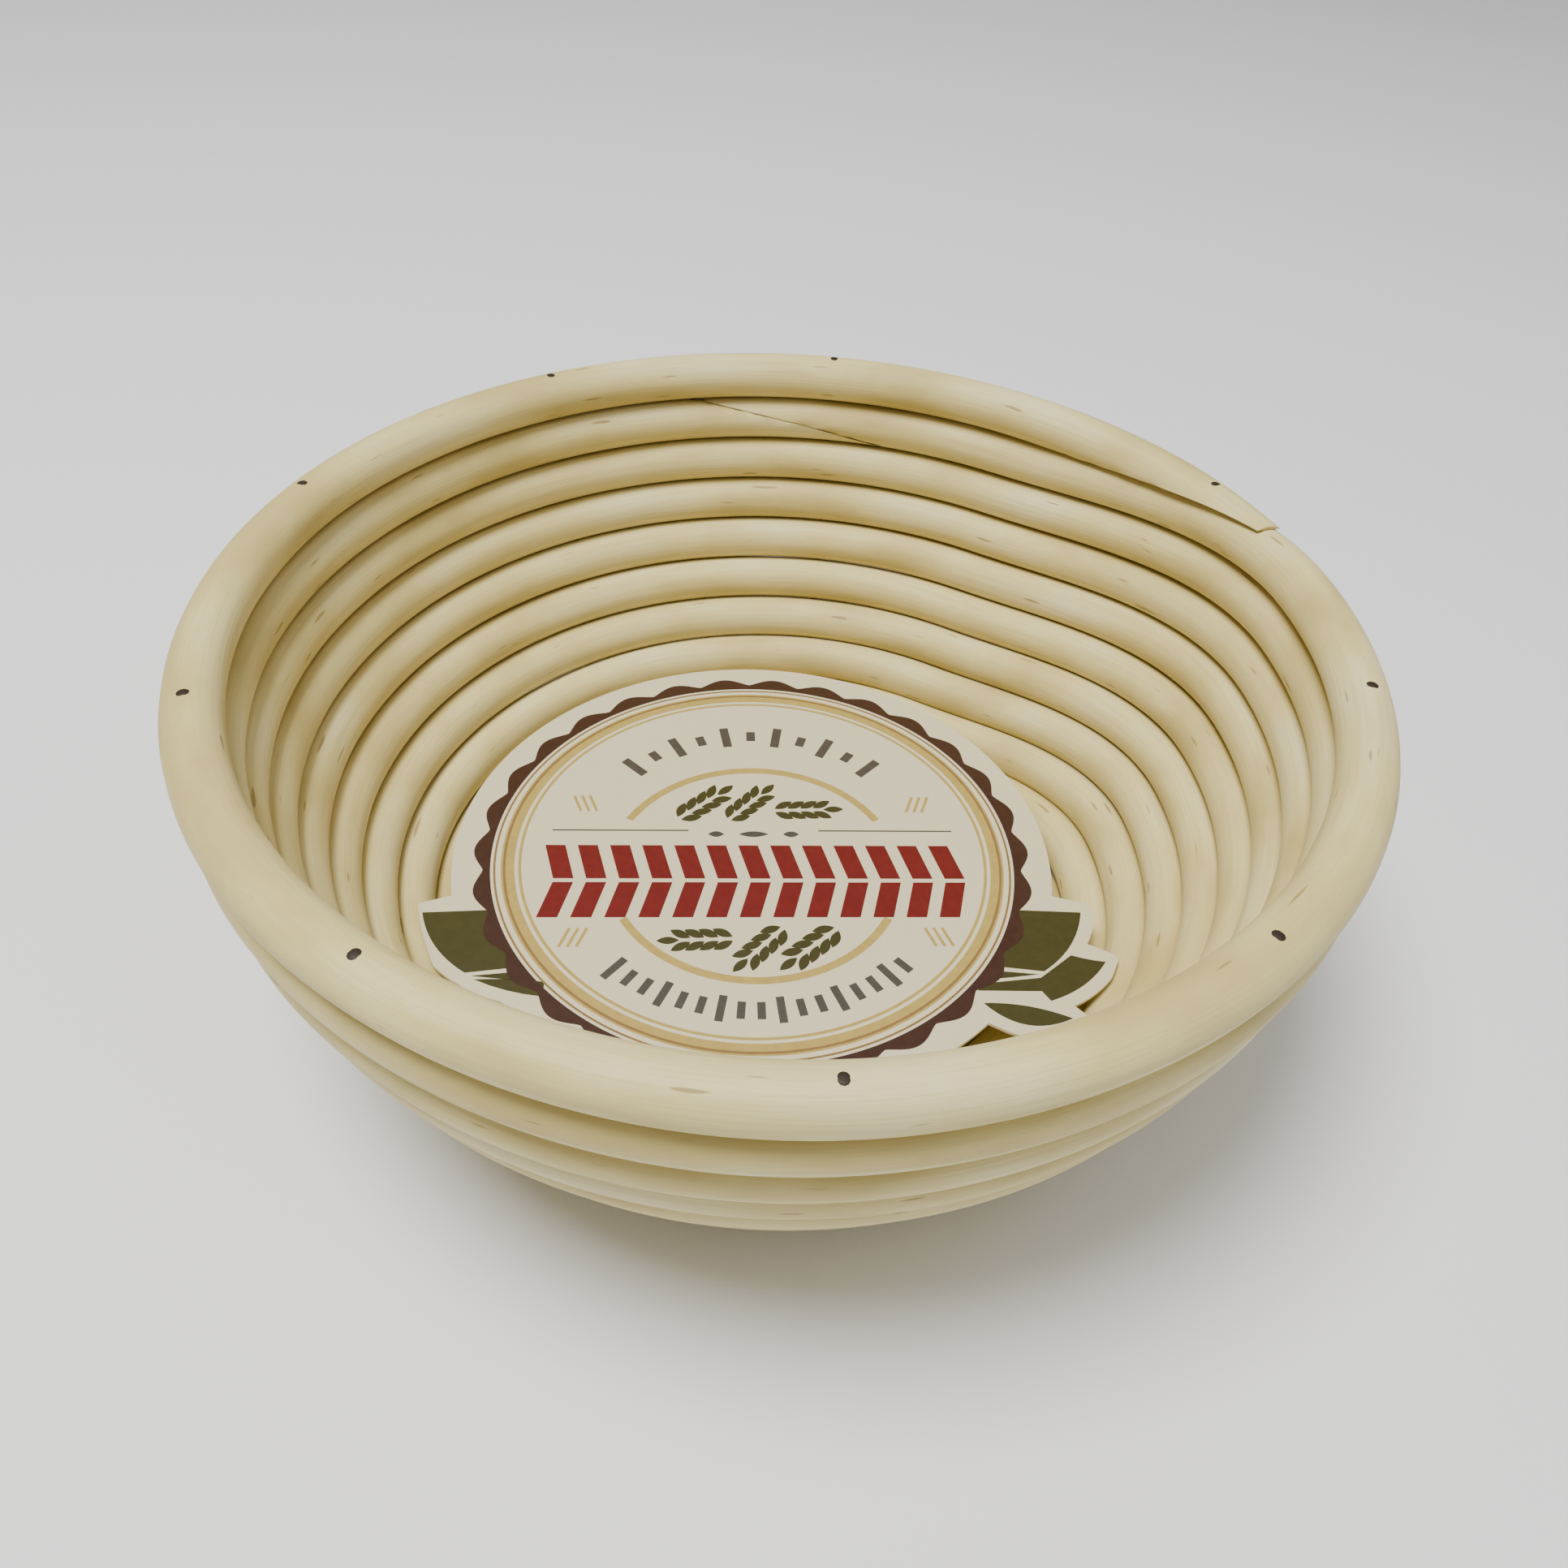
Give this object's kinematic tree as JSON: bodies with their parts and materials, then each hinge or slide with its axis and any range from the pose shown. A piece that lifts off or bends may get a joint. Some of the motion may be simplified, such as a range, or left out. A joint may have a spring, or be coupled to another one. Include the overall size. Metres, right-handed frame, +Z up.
{
  "type": "banneton proving basket",
  "caption": "Round rattan cane proving basket, a deep bowl coiled from slender cane with scarf joints and hidden nails, holding a loose printed insert card.",
  "frame": {"origin": "middle of the base, on the surface that the basket stands on", "axes": "+Z up through the middle of the bowl, +Y away from the side that the card's print faces, +X to that side's right"},
  "size_m": [0.2002, 0.2002, 0.0801],
  "materials": {
    "cane": "bare peeled rattan, satin",
    "nail_steel": "bright wire, slightly dulled",
    "card_paper": "smooth printed card, matt"
  },
  "bodies": {
    "basket": {"rim_cane": "cane", "wall_cane": "cane", "base_cane": "cane", "rim_nails": "nail_steel", "wall_nails": "nail_steel", "base_nails": "nail_steel"},
    "card": {"insert_card": "card_paper"}
  },
  "joints": [
    {"name": "card_lift", "type": "slide", "parent": "basket", "child": "card", "axis": [0, 0, 1], "range_m": [0, 0.1]}
  ]
}
